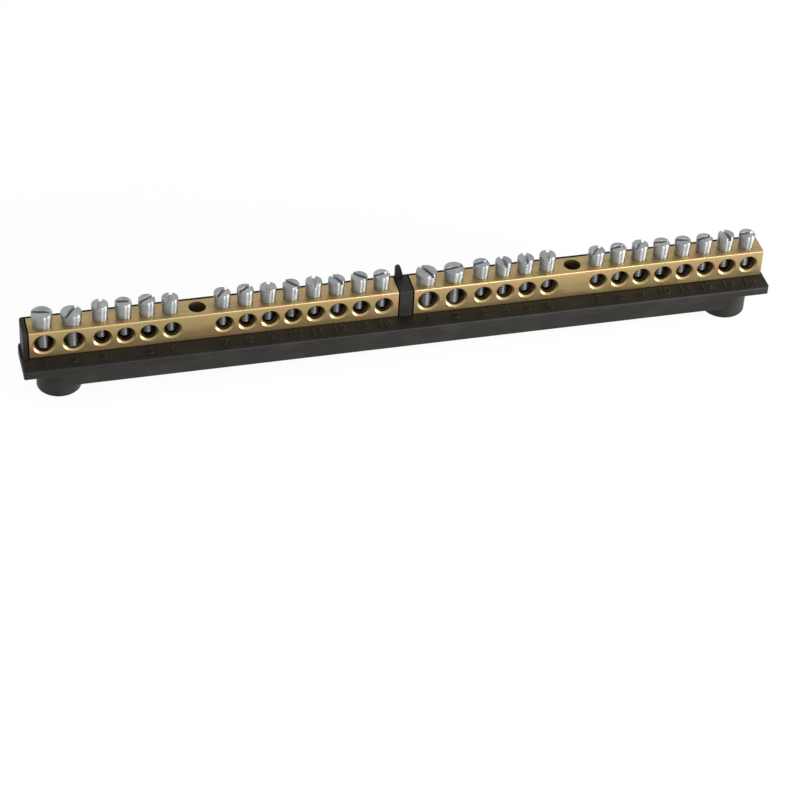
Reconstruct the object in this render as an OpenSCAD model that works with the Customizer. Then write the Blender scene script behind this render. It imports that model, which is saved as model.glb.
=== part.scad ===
// Earth terminal bar: two brass bars, end to end on one moulded carrier.
// Each bar has two main terminals, then branch terminals in two groups with a fixing hole between.
// X runs along the bars, the cable side faces -Y, and Z is up.
// The origin is midway between the two feet, on the plane that they stand on.

/* [Brass bars] */
// Width of a bar, front to back
bar_w = 8; // [7:0.1:10]
// Height of a bar
bar_h = 9.2; // [8.8:0.1:12]
// Rounding of a bar's long edges
bar_edge_r = 0.4; // [0.2:0.05:0.8]
// From a bar's left end to its first main terminal
main_end = 4.45; // [4.2:0.05:8]
// From a bar's last branch terminal to its right end
branch_end = 4.6; // [3.8:0.05:8]
// Bare gap between the two bars
bar_gap = 4.95; // [4:0.05:10]

/* [Terminals] */
// Spacing of the two main terminals
main_pitch = 8.75; // [7.5:0.05:12]
// From the second main terminal to the first branch terminal
step_pitch = 8.5; // [7:0.05:12]
// Spacing of the branch terminals
branch_pitch = 7; // [6.2:0.1:10]
// Branch terminals before the fixing hole
near_count = 4; // [2:1:8]
// Branch terminals after the fixing hole
far_count = 8; // [2:1:12]
// Spacing of the two branch terminals beside the fixing hole
fixing_pitch = 15.75; // [14:0.05:20]
// From the last near terminal to the fixing hole
fixing_offset = 8.2; // [6.5:0.1:9]
// Diameter of a main cable bore
main_bore_d = 6.1; // [5.4:0.1:6.6]
// Diameter of a branch cable bore
branch_bore_d = 5; // [4.4:0.1:5.4]
// Height of the cable bores' centre line over a bar's underside
bore_z = 4.7; // [4.2:0.05:5]
// Chamfer at the mouth of a cable bore
bore_chamfer = 0.5; // [0.1:0.05:0.6]
// Chamfer at the mouth of a tapped hole
tap_chamfer = 0.3; // [0.1:0.05:0.5]
// Diameter of the hole that fixes a bar
fixing_hole_d = 5.3; // [4:0.1:5.6]

/* [Screws] */
// Thread of a main screw
main_thread_d = 5; // [4:0.1:5.2]
// Thread of a branch screw
branch_thread_d = 4; // [3:0.1:4.2]
// Thread left over a bar when a main screw's tip is on the floor of its hole
main_thread_proud = 0.1; // [0.1:0.1:4]
// Thread left over a bar when a branch screw's tip is on the floor of its hole
branch_thread_proud = 0.1; // [0.1:0.1:4]
// Head of a main screw
main_head_d = 6.4; // [5.6:0.1:7]
// Head of a branch screw
branch_head_d = 5.1; // [4.6:0.1:5.8]
// Height of a main head
main_head_h = 3.5; // [2.6:0.1:4.5]
// Height of a branch head
branch_head_h = 3.1; // [2.6:0.1:4]
// Height over which a head widens out of its thread
head_taper_h = 1.6; // [0.8:0.1:1.8]
// Width of the screwdriver slot
slot_w = 1.1; // [0.6:0.1:1.4]
// Depth of the screwdriver slot
slot_depth = 1.1; // [0.5:0.1:1.2]
// Rounding at the rim of a head's top
head_edge_r = 0.65; // [0.3:0.05:0.9]
// Chamfer at a screw's tip
tip_chamfer = 0.35; // [0.1:0.05:0.6]
// Running gap around a thread
thread_gap = 0.05; // [0.02:0.01:0.15]
// Floor of a tapped hole over a bar's underside
tap_floor = 0.8; // [0.5:0.1:1.5]

/* [Carrier] */
// Thickness of the deck that the bars sit on
deck_t = 2.8; // [1.5:0.1:4]
// Depth of the numbered ledge in front of the bars
ledge = 6.6; // [4:0.1:12]
// Thickness of the wall behind the bars
back_wall_t = 0.7; // [0.6:0.1:2]
// Thickness of the wall at the left end
end_wall_t = 1.4; // [1:0.1:3]
// Gap between a bar's ends and the carrier
end_gap = 0.45; // [0.05:0.05:0.6]
// Gap between a bar and the back wall
back_gap = 0.15; // [0.05:0.05:0.5]
// How far the deck reaches past the walls and bars at each end
end_lip = 0.8; // [0.2:0.1:3]
// Rounding of the ledge's front corners
ledge_corner_r = 1; // [0.5:0.1:4]
// Rounding of the deck's rear corners
rear_corner_r = 2.5; // [0.5:0.1:2.7]
// Rounding where the back wall meets the end wall
wall_corner_r = 1.5; // [0.5:0.1:2]
// Rounding of the ledge's front edges
ledge_edge_r = 0.5; // [0.2:0.1:0.8]
// Rounding at the top of the walls
wall_edge_r = 0.4; // [0.2:0.05:0.4]
// Height of the tab over the divider
tab_h = 3.9; // [1:0.1:8]
// From the divider's left side to the tab
tab_inset = 0.25; // [0:0.05:1]
// Width of the tab at its root
tab_root_w = 2.5; // [2:0.1:2.9]
// Width of the tab at its tip
tab_tip_w = 1.7; // [1:0.1:1.9]
// Thickness of the tab
tab_t = 1.4; // [0.9:0.1:3]

/* [Rail and feet] */
// Width of the rail under the deck
rail_w = 13.2; // [11:0.1:13.5]
// How far the ledge overhangs the rail
rail_setback = 1.9; // [0.5:0.1:4]
// Depth of the rail under the deck
rail_h = 5.55; // [3:0.05:7]
// Wall of the hollow rail
rail_wall = 1.6; // [1:0.1:2.5]
// Rounding of the rail's bottom edges
rail_edge_r = 0.6; // [0.2:0.1:0.9]
// Spacing of the ribs inside the rail, nearly
rib_spacing = 23; // [12:1:60]
// Thickness of a rib
rib_t = 1.2; // [0.8:0.1:2]
// How far a rib's edge lies above the rail's bottom
rib_recess = 0.6; // [0:0.1:2]
// Wall of the column around a fixing hole
column_wall = 2; // [1.2:0.1:3]
// Diameter of a foot
foot_d = 13.5; // [11:0.5:14]
// Height of a foot under the deck
foot_h = 9.1; // [7.5:0.1:20]
// From the carrier's end to a foot's centre
foot_inset = 11.3; // [8:0.1:40]
// Wall of the hollow foot
foot_wall = 1.8; // [1:0.1:2.4]
// Rounding of a foot's bottom edge
foot_edge_r = 0.5; // [0.2:0.1:0.9]
// Roof left over the hollow in a foot
foot_roof = 1.5; // [1:0.1:3]
// Diameter of the boss in a foot
foot_boss_d = 6.6; // [5:0.1:7]
// Pilot hole in a foot's boss for a thread-forming screw
pilot_d = 3.2; // [2:0.1:3.8]

/* [Hidden] */
per_bar = 2 + near_count + far_count;
sides = ["left", "right"];
function screw_name(side, i) = str(sides[side], i < 2 ? "_main_screw_" : "_branch_screw_", i + 1);

eps = 0.01;
round_fn = 48;
arc_steps = 5;

// Along a bar, from its left end
function terminal_at(i) =
    main_end
    + (i < 2 ? i * main_pitch : main_pitch + step_pitch)
    + (i < 2 ? 0 : i < 2 + near_count ? (i - 2) * branch_pitch
        : (i - 3) * branch_pitch + fixing_pitch);
fixing_at = terminal_at(1 + near_count) + fixing_offset;
bar_l = terminal_at(per_bar - 1) + branch_end;

// Along the carrier: the wall is at the left end only, so the divider is off the middle
divider_w = bar_gap - 2 * end_gap;
divider_x = (end_gap + end_wall_t) / 2;
carrier_l = 2 * (bar_l + end_lip) + bar_gap + end_gap + end_wall_t;
bar_x = [divider_x - bar_gap / 2 - bar_l, divider_x + bar_gap / 2];
foot_x = carrier_l / 2 - foot_inset;

// Front to back
deck_w = ledge + bar_w + back_gap + back_wall_t;
front_y = -rail_w / 2 - rail_setback;
back_y = front_y + deck_w;
bar_front_y = front_y + ledge;
bar_y = bar_front_y + bar_w / 2;

// Upwards
deck_z = foot_h;
seat_z = deck_z + deck_t;
bar_top = seat_z + bar_h;
rail_z = deck_z - rail_h;

// State of the screws, left bar then right: the tip over the floor of its tapped hole,
// and the direction of the slot, as the last hand left them
tip_lift = [
    [1.0, 0.1, 2.2, 2.0, 2.1, 1.7, 1.5, 1.8, 1.6, 1.8, 1.9, 1.6, 1.8, 1.6],
    [0.4, 0.4, 1.6, 1.4, 1.7, 1.9, 1.5, 1.7, 1.9, 1.8, 1.6, 1.6, 2.0, 1.5]
];
slot_turn = [
    [-10, 54, 75, -8, 30, 75, 50, 60, 75, -40, 80, -62, -24, 15],
    [-66, 3, 5, 55, 60, 73, 50, 5, 73, -10, -8, -14, 72, -5]
];
function of_screw(table, side, i) = table[side][i % len(table[side])];

// Points of an arc about [x, y]
function arc(x, y, r, from, to) =
    [for (k = [0 : arc_steps]) let (a = from + (to - from) * k / arc_steps) [x + r * cos(a), y + r * sin(a)]];

// A profile drawn in Y and Z, run along X from x
module run_x(x, length) {
    translate([x, 0, 0]) rotate([90, 0, 90]) linear_extrude(length) children();
}

// A drilling along Y through the bars, with its two mouths chamfered
module cable_bore(x, d) {
    translate([x, bar_y, seat_z + bore_z]) rotate([90, 0, 0]) {
        cylinder(h = bar_w + 2 * eps, d = d, center = true, $fn = round_fn);
        for (face = [-1, 1]) scale([1, 1, face]) translate([0, 0, bar_w / 2 - bore_chamfer])
            cylinder(h = bore_chamfer + eps, d1 = d, d2 = d + 2 * (bore_chamfer + eps), $fn = round_fn);
    }
}

// A drilling down from a bar's top face, countersunk for the thread
module tapped_hole(x, d) {
    translate([x, bar_y, seat_z]) {
        translate([0, 0, tap_floor]) cylinder(h = bar_h, d = d, $fn = round_fn);
        translate([0, 0, bar_h - tap_chamfer])
            cylinder(h = tap_chamfer + eps, d1 = d, d2 = d + 2 * (tap_chamfer + eps), $fn = round_fn);
    }
}

module bar_profile() {
    lo_y = bar_front_y + bar_edge_r;
    hi_y = bar_front_y + bar_w - bar_edge_r;
    lo_z = seat_z + bar_edge_r;
    hi_z = bar_top - bar_edge_r;
    polygon(concat(
        arc(lo_y, lo_z, bar_edge_r, 180, 270), arc(hi_y, lo_z, bar_edge_r, 270, 360),
        arc(hi_y, hi_z, bar_edge_r, 0, 90), arc(lo_y, hi_z, bar_edge_r, 90, 180)
    ));
}

module brass_bar(side) {
    color("#b5924f") difference() {
        run_x(bar_x[side], bar_l) bar_profile();
        for (i = [0 : per_bar - 1]) {
            x = bar_x[side] + terminal_at(i);
            cable_bore(x, i < 2 ? main_bore_d : branch_bore_d);
            tapped_hole(x, (i < 2 ? main_thread_d : branch_thread_d) + 2 * thread_gap);
        }
        fixing_hole(side, seat_z, bar_h);
    }
}

module left_bar() brass_bar(0);
module right_bar() brass_bar(1);

module fixing_hole(side, z, height) {
    translate([bar_x[side] + fixing_at, bar_y, z - eps])
        cylinder(h = height + 2 * eps, d = fixing_hole_d, $fn = round_fn);
}

// Half outline of a slotted screw, turned about Z: chamfered tip, thread, and a head that
// widens slowly out of the thread and has a rounded rim
module screw_outline(thread_r, thread_l, head_r, head_h) {
    top = thread_l + head_h;
    polygon(concat(
        [[0, 0], [thread_r - tip_chamfer, 0], [thread_r, tip_chamfer], [thread_r, thread_l],
            [head_r, thread_l + head_taper_h]],
        arc(head_r - head_edge_r, top - head_edge_r, head_edge_r, 0, 90),
        [[0, top]]
    ));
}

module terminal_screw(side, i) {
    main = i < 2;
    thread_l = bar_h - tap_floor + (main ? main_thread_proud : branch_thread_proud);
    head_r = (main ? main_head_d : branch_head_d) / 2;
    head_h = main ? main_head_h : branch_head_h;
    color("#a9adb0")
        translate([bar_x[side] + terminal_at(i), bar_y, seat_z + tap_floor + of_screw(tip_lift, side, i)])
        difference() {
            rotate_extrude($fn = round_fn)
                screw_outline((main ? main_thread_d : branch_thread_d) / 2, thread_l, head_r, head_h);
            rotate([0, 0, of_screw(slot_turn, side, i)])
                translate([-head_r - eps, -slot_w / 2, thread_l + head_h - slot_depth])
                cube([2 * head_r + 2 * eps, slot_w, slot_depth + eps]);
        }
}

// The deck with its ledge, rounded along the front
module deck_profile() {
    lip_y = front_y + ledge_edge_r;
    polygon(concat(
        arc(lip_y, deck_z + ledge_edge_r, ledge_edge_r, 270, 180),
        arc(lip_y, seat_z - ledge_edge_r, ledge_edge_r, 180, 90),
        [[back_y, seat_z], [back_y, deck_z]]
    ));
}

module back_wall_profile() {
    polygon(concat(
        [[back_y - back_wall_t, seat_z - eps], [back_y - back_wall_t, bar_top]],
        arc(back_y - wall_edge_r, bar_top - wall_edge_r, wall_edge_r, 90, 0),
        [[back_y, seat_z - eps]]
    ));
}

module deck_plan() {
    front_r = ledge_corner_r;
    rear_r = rear_corner_r;
    end_x = carrier_l / 2;
    translate([-end_x, front_y + front_r]) square([carrier_l, deck_w - front_r - rear_r]);
    translate([-end_x + front_r, front_y]) square([carrier_l - 2 * front_r, deck_w - rear_r]);
    translate([-end_x + rear_r, front_y + front_r]) square([carrier_l - 2 * rear_r, deck_w - front_r]);
    for (s = [-1, 1]) {
        translate([s * (end_x - front_r), front_y + front_r]) circle(front_r, $fn = round_fn);
        translate([s * (end_x - rear_r), back_y - rear_r]) circle(rear_r, $fn = round_fn);
    }
}

// The walls stop short of the deck's ends, and meet in a curve at the left
module wall_plan() {
    r = wall_corner_r;
    length = carrier_l - 2 * end_lip;
    translate([-length / 2, front_y]) square([length, deck_w - r]);
    translate([-length / 2 + r, front_y]) square([length - r, deck_w]);
    translate([-length / 2 + r, back_y - r]) circle(r, $fn = round_fn);
}

module deck() {
    intersection() {
        union() {
            run_x(-carrier_l / 2, carrier_l) deck_profile();
            intersection() {
                union() {
                    run_x(-carrier_l / 2, carrier_l) back_wall_profile();
                    cross_wall(end_lip - carrier_l / 2, end_wall_t);
                }
                translate([0, 0, deck_z]) linear_extrude(bar_top) wall_plan();
            }
        }
        translate([0, 0, deck_z - eps]) linear_extrude(bar_top) deck_plan();
    }
}

// A wall across the deck, as wide and high as a bar, with a rounded top front edge
module cross_wall(x, thickness) {
    run_x(x, thickness) polygon(concat(
        [[bar_front_y, seat_z - eps]],
        arc(bar_front_y + wall_edge_r, bar_top - wall_edge_r, wall_edge_r, 180, 90),
        [[back_y - back_wall_t / 2, bar_top], [back_y - back_wall_t / 2, seat_z - eps]]
    ));
}

// Upright tab on the back wall: straight on its left side, tapering and round-tipped on its right
module tab() {
    tip_r = tab_tip_w / 2;
    left_x = divider_x - divider_w / 2 + tab_inset;
    translate([0, back_y, 0]) rotate([90, 0, 0]) linear_extrude(tab_t) polygon(concat(
        [[left_x, bar_top - wall_edge_r], [left_x + tab_root_w, bar_top - wall_edge_r],
            [left_x + tab_root_w, bar_top]],
        arc(left_x + tip_r, bar_top + tab_h - tip_r, tip_r, 0, 180)
    ));
}

module rail_section(inset) {
    r = rail_edge_r;
    half_w = rail_w / 2 - inset;
    polygon(concat(
        [[half_w, deck_z + eps], [-half_w, deck_z + eps]],
        arc(-half_w + r, rail_z + r, r, 180, 270),
        arc(half_w - r, rail_z + r, r, 270, 360)
    ));
}

// The rail is a channel that opens downwards, with ribs across it
module rail() {
    ribs = round(2 * foot_x / rib_spacing);
    difference() {
        run_x(-foot_x, 2 * foot_x) rail_section(0);
        difference() {
            translate([-foot_x - eps, -rail_w / 2 + rail_wall, rail_z - eps])
                cube([2 * foot_x + 2 * eps, rail_w - 2 * rail_wall, rail_h + eps]);
            for (s = [-1, 1]) translate([s * foot_x, 0, 0]) cylinder(h = foot_h, d = foot_d, $fn = round_fn);
            for (k = [1 : ribs - 1])
                translate([-foot_x + 2 * foot_x * k / ribs - rib_t / 2, -rail_w / 2, rail_z + rib_recess])
                cube([rib_t, rail_w, rail_h]);
            for (side = [0, 1]) translate([bar_x[side] + fixing_at, bar_y, rail_z - 2 * eps])
                cylinder(h = rail_h + 3 * eps, d = fixing_hole_d + 2 * column_wall, $fn = round_fn);
        }
    }
}

module foot_body() {
    r = foot_edge_r;
    rotate_extrude($fn = round_fn) polygon(concat(
        [[0, deck_z + eps], [0, 0]],
        arc(foot_d / 2 - r, r, r, 270, 360),
        [[foot_d / 2, deck_z + eps]]
    ));
}

// The hollow between a foot's wall and its boss, crossed by four webs
module foot_hollow() {
    depth = foot_h - foot_roof;
    difference() {
        translate([0, 0, -eps]) cylinder(h = depth, d = foot_d - 2 * foot_wall, $fn = round_fn);
        translate([0, 0, -2 * eps]) cylinder(h = depth + 3 * eps, d = foot_boss_d, $fn = round_fn);
        for (a = [0, 90]) rotate([0, 0, a])
            translate([-foot_d / 2, -rib_t / 2, rib_recess]) cube([foot_d, rib_t, depth]);
    }
    translate([0, 0, -eps]) cylinder(h = depth, d = pilot_d, $fn = round_fn);
}

module carrier() {
    color("#2a2926") difference() {
        union() {
            deck();
            rail();
            cross_wall(divider_x - divider_w / 2, divider_w);
            tab();
            for (s = [-1, 1]) translate([s * foot_x, 0, 0]) foot_body();
        }
        for (s = [-1, 1]) translate([s * foot_x, 0, 0]) foot_hollow();
        for (side = [0, 1]) fixing_hole(side, rail_z, rail_h + deck_t);
    }
}

carrier();
left_bar();
right_bar();
for (side = [0, 1], i = [0 : per_bar - 1])
    terminal_screw(side, i);
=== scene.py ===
# %% [markdown]
# # Earth terminal bar
# Two brass bars stand end to end on one black moulded carrier. A cable goes into each bore from
# the front, and a slotted screw comes down on it from above. The construction is already measured
# and modelled elsewhere, so this lesson is about what it lacks: edges that catch the light, real
# threads, raised numerals, and finishes for moulded plastic, drawn brass and zinc-plated steel.

# %% Load the frame
import math

import bmesh
import bpy
from mathutils import Matrix, Vector


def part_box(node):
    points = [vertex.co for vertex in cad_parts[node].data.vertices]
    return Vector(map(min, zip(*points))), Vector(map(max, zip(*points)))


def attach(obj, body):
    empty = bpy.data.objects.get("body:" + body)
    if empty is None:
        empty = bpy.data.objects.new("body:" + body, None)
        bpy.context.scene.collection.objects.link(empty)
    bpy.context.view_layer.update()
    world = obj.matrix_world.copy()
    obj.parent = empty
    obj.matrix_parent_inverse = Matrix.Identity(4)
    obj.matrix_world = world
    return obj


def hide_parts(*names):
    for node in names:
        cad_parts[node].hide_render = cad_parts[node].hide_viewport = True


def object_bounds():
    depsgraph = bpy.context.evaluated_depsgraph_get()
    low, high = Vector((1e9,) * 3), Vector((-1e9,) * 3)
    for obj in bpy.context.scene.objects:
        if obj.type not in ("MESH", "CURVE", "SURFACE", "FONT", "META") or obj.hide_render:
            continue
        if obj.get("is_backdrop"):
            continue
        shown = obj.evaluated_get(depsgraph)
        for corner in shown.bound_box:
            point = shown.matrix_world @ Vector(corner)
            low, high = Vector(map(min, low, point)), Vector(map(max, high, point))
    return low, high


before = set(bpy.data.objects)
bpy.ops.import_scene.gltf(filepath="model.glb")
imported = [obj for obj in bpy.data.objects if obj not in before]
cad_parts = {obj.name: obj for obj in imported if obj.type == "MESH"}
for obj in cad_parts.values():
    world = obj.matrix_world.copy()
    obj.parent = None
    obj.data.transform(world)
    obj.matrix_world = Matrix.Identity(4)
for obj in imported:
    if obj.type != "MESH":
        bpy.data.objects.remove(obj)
cad_low, cad_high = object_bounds()
MM = 0.001
print("nodes:", len(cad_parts))
print("size in mm:", [round(s / MM, 2) for s in cad_high - cad_low])

# %% [markdown]
# ## Camera
# A long lens a little under a metre away keeps the long, thin part free of distortion. A Track To
# constraint could aim it, but it leaves no say over the lean. So three turns set it: the heading
# about Z, the dip below the horizon, and a small lean about the line of sight. They are multiplied
# in that order, and each turn acts inside the one before it. The lens points at a place measured
# from the middle of the row of screws, so it follows if the bars stand higher or lower.

# %% Camera
AIM_OFFSET = Vector((-3.94, -17.3, -21.83)) * MM
DISTANCE = 859.2 * MM
HEADING, DIP, LEAN = (math.radians(a) for a in (16.24, 39.05, 3.45))
LENS = 126.7
NEAREST = 10 * MM

row_ends = [
    sum(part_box(node), Vector()) / 2 for node in ("left_main_screw_1", "right_branch_screw_14")
]
bar_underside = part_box("left_bar")[0].z
row_middle = Vector((*((row_ends[0] + row_ends[1]) / 2).xy, bar_underside))
turned = (
    Matrix.Rotation(-HEADING, 4, "Z")
    @ Matrix.Rotation(math.pi / 2 - DIP, 4, "X")
    @ Matrix.Rotation(LEAN, 4, "Z")
)
camera = bpy.data.objects.new("camera", bpy.data.cameras.new("camera"))
camera.data.lens = LENS
camera.data.clip_start = NEAREST
camera.matrix_world = (
    Matrix.Translation(row_middle + AIM_OFFSET) @ turned @ Matrix.Translation((0, 0, DISTANCE))
)
bpy.context.scene.collection.objects.link(camera)
bpy.context.scene.camera = camera
print("camera at", [round(c, 3) for c in camera.matrix_world.translation])

# %% [markdown]
# ## Sums in a material
# Every finish below is a small sum of patterns. Math nodes could be wired one by one, but that
# hides the sum. This class wraps a socket and lets Python's own signs make the nodes, so that
# `0.4 + grain * 0.2` is one Multiply node and one Add node. Every other kind of node comes from the
# one method `node`, which sets the node's settings first and then its inlets.


# %% A socket that can be written in a sum
class Wire:
    def __init__(self, tree, socket=None):
        self.tree = tree
        self.socket = socket

    def node(self, kind, settings=None, inlets=None, outlet=0):
        """Adds a node with its settings, values and links, and returns one of its outlets."""
        made = self.tree.nodes.new(kind)
        for name, value in (settings or {}).items():
            setattr(made, name, value)
        for name, value in (inlets or {}).items():
            if isinstance(value, Wire):
                self.tree.links.new(value.socket, made.inputs[name])
            else:
                made.inputs[name].default_value = value
        return Wire(self.tree, made.outputs[outlet]) if made.outputs else None

    def calculate(self, operation, first, second):
        return self.node("ShaderNodeMath", {"operation": operation}, {0: first, 1: second})

    def __add__(self, other):
        return self.calculate("ADD", self, other)

    def __radd__(self, other):
        return self.calculate("ADD", other, self)

    def __mul__(self, other):
        return self.calculate("MULTIPLY", self, other)

    def __rmul__(self, other):
        return self.calculate("MULTIPLY", other, self)

    def blend(self, low, high):
        """From one colour to another, by this value."""
        return self.node(
            "ShaderNodeMix", {"data_type": "RGBA"}, {0: self, 6: low, 7: high}, outlet=2
        )


def new_finish(name):
    """An empty material, and a wire to build it with."""
    made = bpy.data.materials.new(name)
    made.use_nodes = True
    made.node_tree.nodes.clear()
    return made, Wire(made.node_tree)


print("besides its signs, a wire has:", [name for name in dir(Wire) if name[0] != "_"])

# %% [markdown]
# ## World
# A studio has pale walls all round. They could be modelled, but a world colour gives the same light
# and costs nothing. It has two strengths, told apart by Light Path: a plain level for the rays that
# light matte surfaces, and full white for what the camera sees and shiny metal mirrors. That keeps
# the background clean, and no extra light falls on the part.

# %% World
WORLD_LEVEL = 0.45
WHITE = (1, 1, 1, 1)


def seen_or_mirrored(wire):
    """1 for rays from the camera and from shiny or clear surfaces, 0 for rays that light things."""
    rays = [
        wire.node("ShaderNodeLightPath", outlet=name)
        for name in ("Is Camera Ray", "Is Glossy Ray", "Is Transmission Ray")
    ]
    return wire.node(
        "ShaderNodeMath",
        {"operation": "ADD", "use_clamp": True},
        {0: rays[0] + rays[1], 1: rays[2]},
    )


world = bpy.data.worlds.new("studio")
bpy.context.scene.world = world
world.use_nodes = True
world.node_tree.nodes.clear()
sky = Wire(world.node_tree)
sky_strength = seen_or_mirrored(sky) * (1 - WORLD_LEVEL) + WORLD_LEVEL
backdrop = sky.node("ShaderNodeBackground", inlets={"Color": WHITE, "Strength": sky_strength})
sky.node("ShaderNodeOutputWorld", inlets={"Surface": backdrop})
print("world lights the part at", WORLD_LEVEL, "with", len(world.node_tree.nodes), "nodes")

# %% [markdown]
# ## Floor
# The floor is a sheet of matte paper, because the part's soft shadow is what makes it stand on
# something. White paper under lamps still comes out grey, and a brighter lamp would bleach the part
# as well. So most of the paper's colour is an even glow, for the same rays as in the world, and the
# small matte share keeps the shadow.

# %% Floor
PAPER = (0.86, 0.86, 0.85, 1)
GLOW_SHARE = 0.86
GLOW_STRENGTH = 1.08
FLOOR_SIZE = 3.0

floor_paper, paper = new_finish("studio_paper")
matte = paper.node("ShaderNodeBsdfDiffuse", inlets={"Color": PAPER})
glow = paper.node("ShaderNodeEmission", inlets={"Color": WHITE, "Strength": GLOW_STRENGTH})
mixed = paper.node(
    "ShaderNodeMixShader", inlets={0: seen_or_mirrored(paper) * GLOW_SHARE, 1: matte, 2: glow}
)
paper.node("ShaderNodeOutputMaterial", inlets={"Surface": mixed})

bm = bmesh.new()
bmesh.ops.create_grid(bm, x_segments=1, y_segments=1, size=FLOOR_SIZE / 2)
floor_mesh = bpy.data.meshes.new("floor")
bm.to_mesh(floor_mesh)
bm.free()
floor = bpy.data.objects.new("floor", floor_mesh)
floor.data.materials.append(floor_paper)
bpy.context.scene.collection.objects.link(floor)
floor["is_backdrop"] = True
print("floor", FLOOR_SIZE, "m wide, glowing by", GLOW_SHARE)

# %% [markdown]
# ## Lamps
# Two low soft boxes stand to the right. The one in front gives each screw its bright upright
# streak, and the one at the side catches the lower left of each bore's chamfer. Spot lamps would
# give hard, thin glints, while broad area lamps give the wide ones that turned metal shows. An area
# lamp shines along its own -Z, so `to_track_quat` turns that axis towards the part.

# %% Lamps
SOFT_BOXES = {
    "key": {"place": (0.28, -0.86, 0.15), "size": (0.24, 0.24), "watts": 5.5},
    "side": {"place": (0.84, -0.36, 0.12), "size": (0.4, 0.22), "watts": 11},
}


def soft_box(name, place, size, watts):
    lamp = bpy.data.lights.new(name, "AREA")
    lamp.shape = "RECTANGLE"
    lamp.size, lamp.size_y = size
    lamp.energy = watts
    holder = bpy.data.objects.new(name, lamp)
    holder.location = place
    holder.rotation_mode = "QUATERNION"
    holder.rotation_quaternion = (-Vector(place)).to_track_quat("-Z", "Y")
    bpy.context.scene.collection.objects.link(holder)


for name, values in SOFT_BOXES.items():
    soft_box(name, **values)
    print(name, "soft box:", values["watts"], "W")

# %% [markdown]
# ## Patterns
# Real surfaces are never even. An image could hold their marks, but noise needs no image and has no
# seams, so every finish here starts from it. Object coordinates tie it to the piece, and a Mapping
# node scales each axis on its own: few features along an axis stretch the noise into lines.
# `contrast` keeps a part of the noise's range, which turns soft clouds into patches. `relief` uses
# a pattern as height, in a bump that bends the light and leaves the mesh alone.


# %% Pattern helpers
def pattern(wire, per_mm, detail=3.0):
    """Noise with so many features a millimetre along X, Y and Z of the piece."""
    place = wire.node("ShaderNodeTexCoord", outlet="Object")
    scale = [n / MM for n in per_mm]
    scaled = wire.node("ShaderNodeMapping", inlets={"Vector": place, "Scale": scale})
    return wire.node(
        "ShaderNodeTexNoise", inlets={"Vector": scaled, "Scale": 1.0, "Detail": detail}
    )


def contrast(value, low, high):
    """Stretches the part of a value from low to high over 0 to 1."""
    return value.node(
        "ShaderNodeMapRange", inlets={"Value": value, "From Min": low, "From Max": high}
    )


def relief(height, strength, depth):
    """A bump from a pattern, with its depth in millimetres."""
    return height.node(
        "ShaderNodeBump", inlets={"Strength": strength, "Distance": depth * MM, "Height": height}
    )


def finish_with(wire, inlets):
    """Ends a finish with one Principled shader."""
    surface = wire.node("ShaderNodeBsdfPrincipled", inlets=inlets)
    wire.node("ShaderNodeOutputMaterial", inlets={"Surface": surface})


print("helpers:", [helper.__name__ for helper in (pattern, contrast, relief, finish_with)])

# %% [markdown]
# ## Moulded plastic
# The carrier is one black moulding with a warm cast. Moulds are spark-eroded, which leaves a fine
# even grain, and the plastic flows along the part and leaves faint long streaks. Both are far too
# fine to model, so they change the roughness and the bump, and the colour only a little. A pale
# bloom lies here and there. The numerals stand proud and get rubbed, so they take the same finish
# in lighter colours.

# %% Moulded plastic
GRAIN_PER_MM = (7, 7, 7)
FLOW_PER_MM = (0.03, 0.5, 0.5)
BLOOM_PER_MM = (0.12, 0.2, 0.2)
BLOOM = (0.018, 0.016, 0.0125, 1)
UNTOUCHED = ((0.0055, 0.005, 0.0035, 1), (0.0095, 0.0085, 0.0065, 1))
RUBBED = ((0.024, 0.022, 0.018, 1), (0.038, 0.035, 0.03, 1))


def moulding_finish(name, dark, light):
    made, wire = new_finish(name)
    grain = pattern(wire, GRAIN_PER_MM, detail=2.0)
    flow = pattern(wire, FLOW_PER_MM)
    bloom = contrast(pattern(wire, BLOOM_PER_MM), low=0.45, high=0.75)
    colour = contrast(flow * 0.6 + grain * 0.4, low=0.3, high=0.7).blend(dark, light)
    finish_with(
        wire,
        {
            "Base Color": bloom.blend(colour, BLOOM),
            "Roughness": 0.42 + grain * 0.16 + flow * 0.1,
            "Specular IOR Level": 0.27,
            "Normal": relief(grain, strength=0.12, depth=0.05),
        },
    )
    return made


black_moulding = moulding_finish("black_moulding", *UNTOUCHED)
rubbed_moulding = moulding_finish("rubbed_moulding", *RUBBED)
print("finishes:", black_moulding.name, rubbed_moulding.name)

# %% [markdown]
# ## Drawn brass
# The bars are cut from drawn bar, so fine lines run along X on every face: noise with few features
# along X and many across it draws them. Handling has tarnished the brass, and each kind of tarnish
# is a pattern that blends one more colour in: olive patches, a pink cast and brown specks. Inside
# the bores the drill left a rougher wall, and the shade deep in the bores is painted into its colour
# as a darker brass. It could be a finish of its own, but it has the same patterns, so one function
# makes both brasses, and a painted shade and a roughness tell them apart.

# %% Drawn brass
LINES_PER_MM = (0.05, 7, 7)
OLIVE_PER_MM = (0.09, 0.35, 0.35)
PINK_PER_MM = (0.16, 0.3, 0.3)
SPECKS_PER_MM = (1.6, 2.2, 2.2)
BRASS = ((0.40, 0.285, 0.12), (0.47, 0.34, 0.155))
OLIVE = (0.30, 0.265, 0.12)
PINK = (0.50, 0.28, 0.17)
BROWN = (0.33, 0.20, 0.11)


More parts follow.
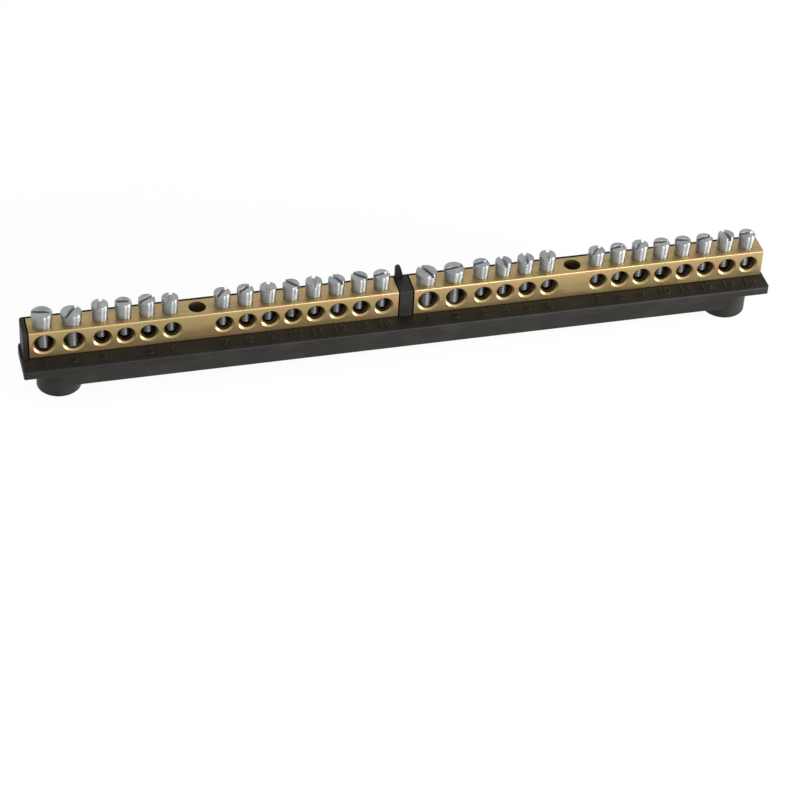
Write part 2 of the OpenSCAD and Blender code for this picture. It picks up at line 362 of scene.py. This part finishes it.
def brass_finish(name, shade, roughness):
    """Brass with its colours times a shade; below 1 that shade is painted into the colour."""

    def shaded(colour):
        return (*(part * shade for part in colour), 1)

    made, wire = new_finish(name)
    lines = pattern(wire, LINES_PER_MM, detail=4.0)
    olive = contrast(pattern(wire, OLIVE_PER_MM), low=0.42, high=0.72)
    pink = contrast(pattern(wire, PINK_PER_MM, detail=2.0), low=0.5, high=0.72)
    specks = contrast(pattern(wire, SPECKS_PER_MM, detail=4.0), low=0.5, high=0.8)
    colour = contrast(lines, low=0.3, high=0.7).blend(*map(shaded, BRASS))
    colour = (olive * 0.8).blend(colour, shaded(OLIVE))
    colour = (pink * 0.6).blend(colour, shaded(PINK))
    colour = (specks * 0.5).blend(colour, shaded(BROWN))
    finish_with(
        wire,
        {
            "Base Color": colour,
            "Metallic": 0.92,
            "Roughness": roughness + lines * 0.12 + olive * 0.12,
            "Normal": relief(lines, strength=0.2, depth=0.02),
        },
    )
    return made


drawn_brass = brass_finish("drawn_brass", shade=1.0, roughness=0.32)
# Painted shade: the bores' shade is painted in as brass darkened to 0.4; the higher roughness is the
# drill's.
drilled_brass_painted_shade = brass_finish("drilled_brass_painted_shade", shade=0.4, roughness=0.5)
print("finishes:", drawn_brass.name, drilled_brass_painted_shade.name)

# %% [markdown]
# ## Zinc-plated steel
# The screws are turned on a lathe and then plated. The plating is slightly blue, with a soft ripple
# and dull specks. The lathe's fine rings lie under it, and they pull every highlight out into a
# streak along the screw. Rings could be drawn as a bump, but they are finer than any render shows,
# so the shader's Anisotropic value gives their streak instead. Its own direction runs round each
# piece's middle line, and an Anisotropic Rotation of a quarter turn makes the streak stand upright.

# %% Zinc-plated steel
RIPPLE_PER_MM = (1.1, 1.1, 1.1)
DULL_PER_MM = (4, 4, 4)
TINT_PER_MM = (0.25, 0.25, 0.25)
ZINC = ((0.29, 0.31, 0.32, 1), (0.38, 0.39, 0.375, 1))
DULL_ZINC = (0.17, 0.18, 0.18, 1)


def zinc_finish(name):
    made, wire = new_finish(name)
    ripple = pattern(wire, RIPPLE_PER_MM, detail=2.0)
    dull = contrast(pattern(wire, DULL_PER_MM), low=0.55, high=0.8)
    plate = contrast(pattern(wire, TINT_PER_MM), low=0.35, high=0.65).blend(*ZINC)
    finish_with(
        wire,
        {
            "Base Color": (dull * 0.6).blend(plate, DULL_ZINC),
            "Metallic": 1.0,
            "Roughness": 0.33 + ripple * 0.14 + dull * 0.2,
            "Anisotropic": 0.85,
            "Anisotropic Rotation": 0.25,
            "Normal": relief(ripple, strength=0.25, depth=0.03),
        },
    )
    return made


zinc_plate = zinc_finish("zinc_plate")
print("finish:", zinc_plate.name)

# %% [markdown]
# ## Making a piece
# Each new piece is drawn in millimetres, because a bevel of 0.1 is easier to read than one of
# 0.0001, and its mesh is scaled to metres at the end. The object's own scale and place could do the
# same, but a pattern on Object coordinates would then slide and stretch. So both are in the mesh,
# and the object stays at the origin. Faces are shaded smooth except across sharp edges.

# %% Make a piece of a mesh
SMOOTH_ANGLE = math.radians(32)


def new_piece(name, bm, finish):
    bmesh.ops.scale(bm, vec=(MM, MM, MM), verts=bm.verts)
    mesh = bpy.data.meshes.new(name)
    bm.to_mesh(mesh)
    bm.free()
    mesh.shade_smooth()
    mesh.set_sharp_from_angle(angle=SMOOTH_ANGLE)
    piece = bpy.data.objects.new(name, mesh)
    piece.data.materials.append(finish)
    bpy.context.scene.collection.objects.link(piece)
    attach(piece, "root")
    return piece


print("edges stay sharp from", round(math.degrees(SMOOTH_ANGLE)), "degrees")

# %% [markdown]
# ## Carrier and bars
# The measured solids already have the right shape, so there is no reason to draw them again. What
# they lack is the softened edge that every moulded or cut part has, and which draws its outline
# with light. So each is copied, and its loose triangles are merged into whole faces. A Bevel
# modifier then eases its sharp edges, more on the plastic than on the brass.

# %% Copy the measured solids and ease their edges
MERGE_GAP = 0.002
FLAT_ANGLE = math.radians(1)
EASED_ANGLE = math.radians(30)
EASED_STEPS = 2
MOULDED_EDGE = 0.2
CUT_EDGE = 0.1


def eased_copy(node, name, finish, edge):
    bm = bmesh.new()
    bm.from_mesh(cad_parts[node].data)
    bmesh.ops.scale(bm, vec=(1 / MM, 1 / MM, 1 / MM), verts=bm.verts)
    bmesh.ops.remove_doubles(bm, verts=bm.verts, dist=MERGE_GAP)
    bmesh.ops.dissolve_limit(bm, angle_limit=FLAT_ANGLE, verts=bm.verts, edges=bm.edges)
    piece = new_piece(name, bm, finish)
    easing = piece.modifiers.new("eased edges", "BEVEL")
    easing.width = edge * MM
    easing.segments = EASED_STEPS
    easing.limit_method = "ANGLE"
    easing.angle_limit = EASED_ANGLE
    easing.loop_slide = False
    easing.harden_normals = True
    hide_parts(node)
    print(name, "has", len(piece.data.polygons), "faces before its bevel")
    return piece


eased_copy("carrier", "carrier_moulding", black_moulding, MOULDED_EDGE)
bars = {
    side: eased_copy(side + "_bar", side + "_brass_bar", drawn_brass, CUT_EDGE)
    for side in ("left", "right")
}

# %% [markdown]
# ## Drilled walls
# A bar has two brasses: drawn outside, and inside a rougher drilled brass with the bores' shade
# painted into its colour. Two pieces could carry them, but one mesh can hold both, because each face
# keeps the number of its own material. The drilled faces are those whose middle lies well inside the
# bar's box. A chamfer's middle doesn't, so it keeps the drawn brass without painted shade and stays
# bright.

# %% Give the drilled walls their finish and painted shade
WALL_DEPTH = 0.5

for side, bar in bars.items():
    bar.data.materials.append(drilled_brass_painted_shade)
    drilled = len(bar.data.materials) - 1
    low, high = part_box(side + "_bar")
    walls = [
        face
        for face in bar.data.polygons
        if min(*(face.center - low), *(high - face.center)) > WALL_DEPTH * MM
    ]
    # These inner faces take the brass with painted shade for the bores.
    for face in walls:
        face.material_index = drilled
    print(bar.name, "has", len(walls), "drilled faces")

# %% [markdown]
# ## Threads
# A real thread is a helix, and each screw's threaded tip is in plain sight in its bore, so a bump
# would not do. A Screw modifier could wind one, and so can `spin`, which turns an outline about an
# axis: its `dvec` also lifts each step. One tooth's outline, spun many times round and lifted by
# one pitch a turn, winds the thread. Each turn's top edge then lies on the next turn's bottom edge,
# and merging doubles joins them.

# %% Wind a thread
STEPS_A_TURN = 32
TOOTH = [(0.0, 0.0), (0.0, 0.14), (1.0, 0.44), (1.0, 0.58), (0.0, 0.88), (0.0, 1.0)]
TOOTH_DEPTH = 0.6
SPARE_TURNS = 2
SEAM_GAP = 0.001


def wound_thread(bm, crest_r, pitch, length):
    """A band wound about Z, which reaches past zero and past the length, to be cut there."""
    root_r = crest_r - TOOTH_DEPTH * pitch
    turns = math.ceil(length / pitch) + SPARE_TURNS
    corners = [
        bm.verts.new((root_r + out * (crest_r - root_r), 0, (up - 1) * pitch))
        for out, up in TOOTH
    ]
    chain = [bm.edges.new(pair) for pair in zip(corners, corners[1:])]
    bmesh.ops.spin(
        bm,
        geom=corners + chain,
        cent=(0, 0, 0),
        axis=(0, 0, 1),
        dvec=(0, 0, pitch / STEPS_A_TURN),
        angle=2 * math.pi * turns,
        steps=STEPS_A_TURN * turns,
    )
    bmesh.ops.remove_doubles(bm, verts=bm.verts, dist=SEAM_GAP)


print("a turn of thread has", STEPS_A_TURN * (len(TOOTH) - 1), "faces")

# %% [markdown]
# ## Screw body
# Each screw is turned from one rod: a chamfered tip, the thread, and a barrel that leaves the brass
# and widens a little to a crown with a rounded rim. Separate pieces could be set on top of each
# other, but their seams would show. So the band is cut off square at both ends with `bisect_plane`,
# and each open end grows on by extruding its ring: down to the tip, and up through the barrel.

# %% Turn a screw body
SCREWS = {
    "main": {"crest_r": 2.5, "pitch": 0.8, "head_r": 3.2, "barrel_r": 2.76},
    "branch": {"crest_r": 2.0, "pitch": 0.7, "head_r": 2.55, "barrel_r": 2.25},
}
NECK = 0.25
TIP_CHAMFER = 0.35
CROWN = 1.5
RIM_RADIUS = 0.4
RIM_STEPS = 6
LEVEL_GAP = 0.01


def open_ring(bm, z):
    return [
        e
        for e in bm.edges
        if e.is_boundary and all(abs(v.co.z - z) < LEVEL_GAP for v in e.verts)
    ]


def grow_ring(bm, ring, radius, z):
    """Extrudes an open ring and sets the new one to a radius and a height."""
    made = bmesh.ops.extrude_edge_only(bm, edges=ring)["geom"]
    for v in (g for g in made if isinstance(g, bmesh.types.BMVert)):
        flat = v.co.xy.normalized() * radius
        v.co = (flat.x, flat.y, z)
    return [g for g in made if isinstance(g, bmesh.types.BMEdge) and g.is_boundary]


def screw_body(brass, top, crest_r, pitch, head_r, barrel_r):
    """A screw without its slot. Its tip is at zero, and the brass ends at the height `brass`."""
    root_r = crest_r - TOOTH_DEPTH * pitch
    bm = bmesh.new()
    wound_thread(bm, crest_r, pitch, brass)
    for z, outwards in ((TIP_CHAMFER, -1), (brass - NECK, 1)):
        bmesh.ops.bisect_plane(
            bm,
            geom=bm.verts[:] + bm.edges[:] + bm.faces[:],
            plane_co=(0, 0, z),
            plane_no=(0, 0, outwards),
            clear_outer=True,
        )
    tip = grow_ring(bm, open_ring(bm, TIP_CHAMFER), root_r - TIP_CHAMFER / 2, 0)
    bmesh.ops.contextual_create(bm, geom=tip)

    ring = open_ring(bm, brass - NECK)
    path = [(crest_r, brass - NECK / 2), (barrel_r, brass), (head_r, top - CROWN)]
    for k in range(RIM_STEPS + 1):
        a = math.pi / 2 * k / RIM_STEPS
        path.append(
            (head_r - RIM_RADIUS * (1 - math.cos(a)), top - RIM_RADIUS * (1 - math.sin(a)))
        )
    for radius, z in path:
        ring = grow_ring(bm, ring, radius, z)
    bmesh.ops.contextual_create(bm, geom=ring)
    bmesh.ops.recalc_face_normals(bm, faces=bm.faces)
    return bm


print("screws drawn as", SCREWS)

# %% [markdown]
# ## Screw slot
# A saw cuts the slot straight across the head. Cutting and deleting faces could open it in the
# mesh, but a Boolean modifier with a block for a blade also makes the slot's clean walls and floor.
# The rims of the head and of the slot then get a small bevel, because screwdrivers have touched
# them.

# %% Cut the slot and ease its rims
SLOT_WIDTH = 1.1
SLOT_DEPTH = 1.1
BLADE_LENGTH = 20
RIM_BEVEL = 0.1
RIM_ANGLE = 0.7


def slotted(name, bm, top):
    """Cuts the slot along X, with a block that stands half in the head and half above it."""
    body = bpy.data.objects.new(name, bpy.data.meshes.new(name))
    bm.to_mesh(body.data)
    bm.free()
    block = (BLADE_LENGTH, SLOT_WIDTH, 2 * SLOT_DEPTH)
    blade_bm = bmesh.new()
    bmesh.ops.create_cube(blade_bm, size=1)
    bmesh.ops.scale(blade_bm, vec=block, verts=blade_bm.verts)
    bmesh.ops.translate(blade_bm, vec=(0, 0, top), verts=blade_bm.verts)
    blade = bpy.data.objects.new("blade", bpy.data.meshes.new("blade"))
    blade_bm.to_mesh(blade.data)
    blade_bm.free()
    for o in (body, blade):
        bpy.context.scene.collection.objects.link(o)
    cut = body.modifiers.new("slot", "BOOLEAN")
    cut.object = blade
    cut.solver = "EXACT"
    graph = bpy.context.evaluated_depsgraph_get()
    made = bpy.data.meshes.new_from_object(body.evaluated_get(graph))
    for o in (body, blade):
        bpy.data.objects.remove(o)
    return made


def with_eased_rims(mesh, crown_z):
    """The mesh as a bmesh, with a small bevel on its sharp edges above a height."""
    bm = bmesh.new()
    bm.from_mesh(mesh)
    rims = [
        e
        for e in bm.edges
        if min(v.co.z for v in e.verts) > crown_z
        and e.is_manifold
        and e.calc_face_angle() > RIM_ANGLE
    ]
    bmesh.ops.bevel(
        bm,
        geom=rims,
        offset=RIM_BEVEL,
        segments=EASED_STEPS,
        profile=0.5,
        affect="EDGES",
        material=-1,
        clamp_overlap=True,
    )
    return bm


print("slot", SLOT_WIDTH, "mm wide and", SLOT_DEPTH, "mm deep, eased by", RIM_BEVEL, "mm")

# %% [markdown]
# ## Place the screws
# No two were left the same: each has its own height over the brass, which the measured solid's box
# gives, and its own direction of slot. Turned copies of one mesh would do for the direction, but
# the thread has to end where the brass ends, so each is drawn for its own height. Its turn and its
# place go into the mesh.

# %% Place the screws
MAIN_SCREWS = 2
SLOT_TURNS = {
    "left": [-10, 54, 75, -8, 30, 75, 50, 38, 76, -48, 80, -63, -42, 12],
    "right": [-66, 11, 11, -88, 84, 75, 50, 8, 52, -3, -8, 17, -81, 4],
}


def screw_at(side, number):
    """A terminal's kind of screw, its measured node, and that node's box in millimetres."""
    kind = "main" if number <= MAIN_SCREWS else "branch"
    node = f"{side}_{kind}_screw_{number}"
    low, high = (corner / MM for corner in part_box(node))
    return kind, node, low, high


brass_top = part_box("left_bar")[1].z / MM
for side, turns in SLOT_TURNS.items():
    for number, turn in enumerate(turns, start=1):
        kind, node, low, high = screw_at(side, number)
        middle = (low + high) / 2
        top = high.z - low.z
        body = screw_body(brass_top - low.z, top, **SCREWS[kind])
        bm = with_eased_rims(slotted(kind, body, top), top - CROWN)
        spun = Matrix.Rotation(math.radians(turn), 3, "Z")
        bmesh.ops.rotate(bm, cent=(0, 0, 0), matrix=spun, verts=bm.verts)
        bmesh.ops.translate(bm, vec=(middle.x, middle.y, low.z), verts=bm.verts)
        piece = new_piece(node + "_threaded", bm, zinc_plate)
        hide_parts(node)
    print(side, "screws placed:", len(turns))

# %% [markdown]
# ## Numerals
# The ledge carries a raised number in front of each terminal, moulded with the carrier. Strokes
# could be drawn one by one, but Blender's own font has plain shapes ready. Each number is made a
# solid with a little extrusion, turned into a mesh, and moved to its terminal, where it sinks a
# little into the ledge so that no gap can show.

# %% Raised numerals
NUMERAL_SIZE = 4.6
NUMERAL_RISE = 0.16
NUMERAL_SINK = 0.05
CURVE_STEPS = 3
LEDGE_MIDDLE = 0.57


def numeral_mesh(number):
    text = bpy.data.curves.new("numeral", "FONT")
    text.body = str(number)
    text.size = NUMERAL_SIZE
    text.align_x = "CENTER"
    text.align_y = "CENTER"
    text.extrude = (NUMERAL_RISE + NUMERAL_SINK) / 2
    text.resolution_u = CURVE_STEPS
    holder = bpy.data.objects.new("numeral", text)
    bpy.context.scene.collection.objects.link(holder)
    graph = bpy.context.evaluated_depsgraph_get()
    made = bpy.data.meshes.new_from_object(holder.evaluated_get(graph))
    bpy.data.objects.remove(holder)
    return made


ledge_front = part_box("carrier")[0].y / MM
bar_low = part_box("left_bar")[0] / MM
numeral_y = ledge_front + (bar_low.y - ledge_front) * LEDGE_MIDDLE
numeral_z = bar_low.z + (NUMERAL_RISE - NUMERAL_SINK) / 2
for side, turns in SLOT_TURNS.items():
    row = bmesh.new()
    for number in range(1, len(turns) + 1):
        _, _, low, high = screw_at(side, number)
        glyph = numeral_mesh(number)
        glyph.transform(Matrix.Translation(((low.x + high.x) / 2, numeral_y, numeral_z)))
        row.from_mesh(glyph)
    bmesh.ops.remove_doubles(row, verts=row.verts, dist=SEAM_GAP)
    piece = new_piece(side + "_numerals", row, rubbed_moulding)
    print(piece.name, "has", len(piece.data.polygons), "faces")

# %% [markdown]
# ## Finish
# The Standard view transform shows a colour about as it is written, where Blender's default would
# mute the whites. The part's box is then measured once more, to be sure that nothing grew past the
# measured solids.

# %% Sizes and finish
bpy.context.scene.view_settings.view_transform = "Standard"
low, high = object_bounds()
growth = zip([*low, *high], [*cad_low, *cad_high])
print("grown by, in mm:", [round((now - before) / MM, 3) for now, before in growth])
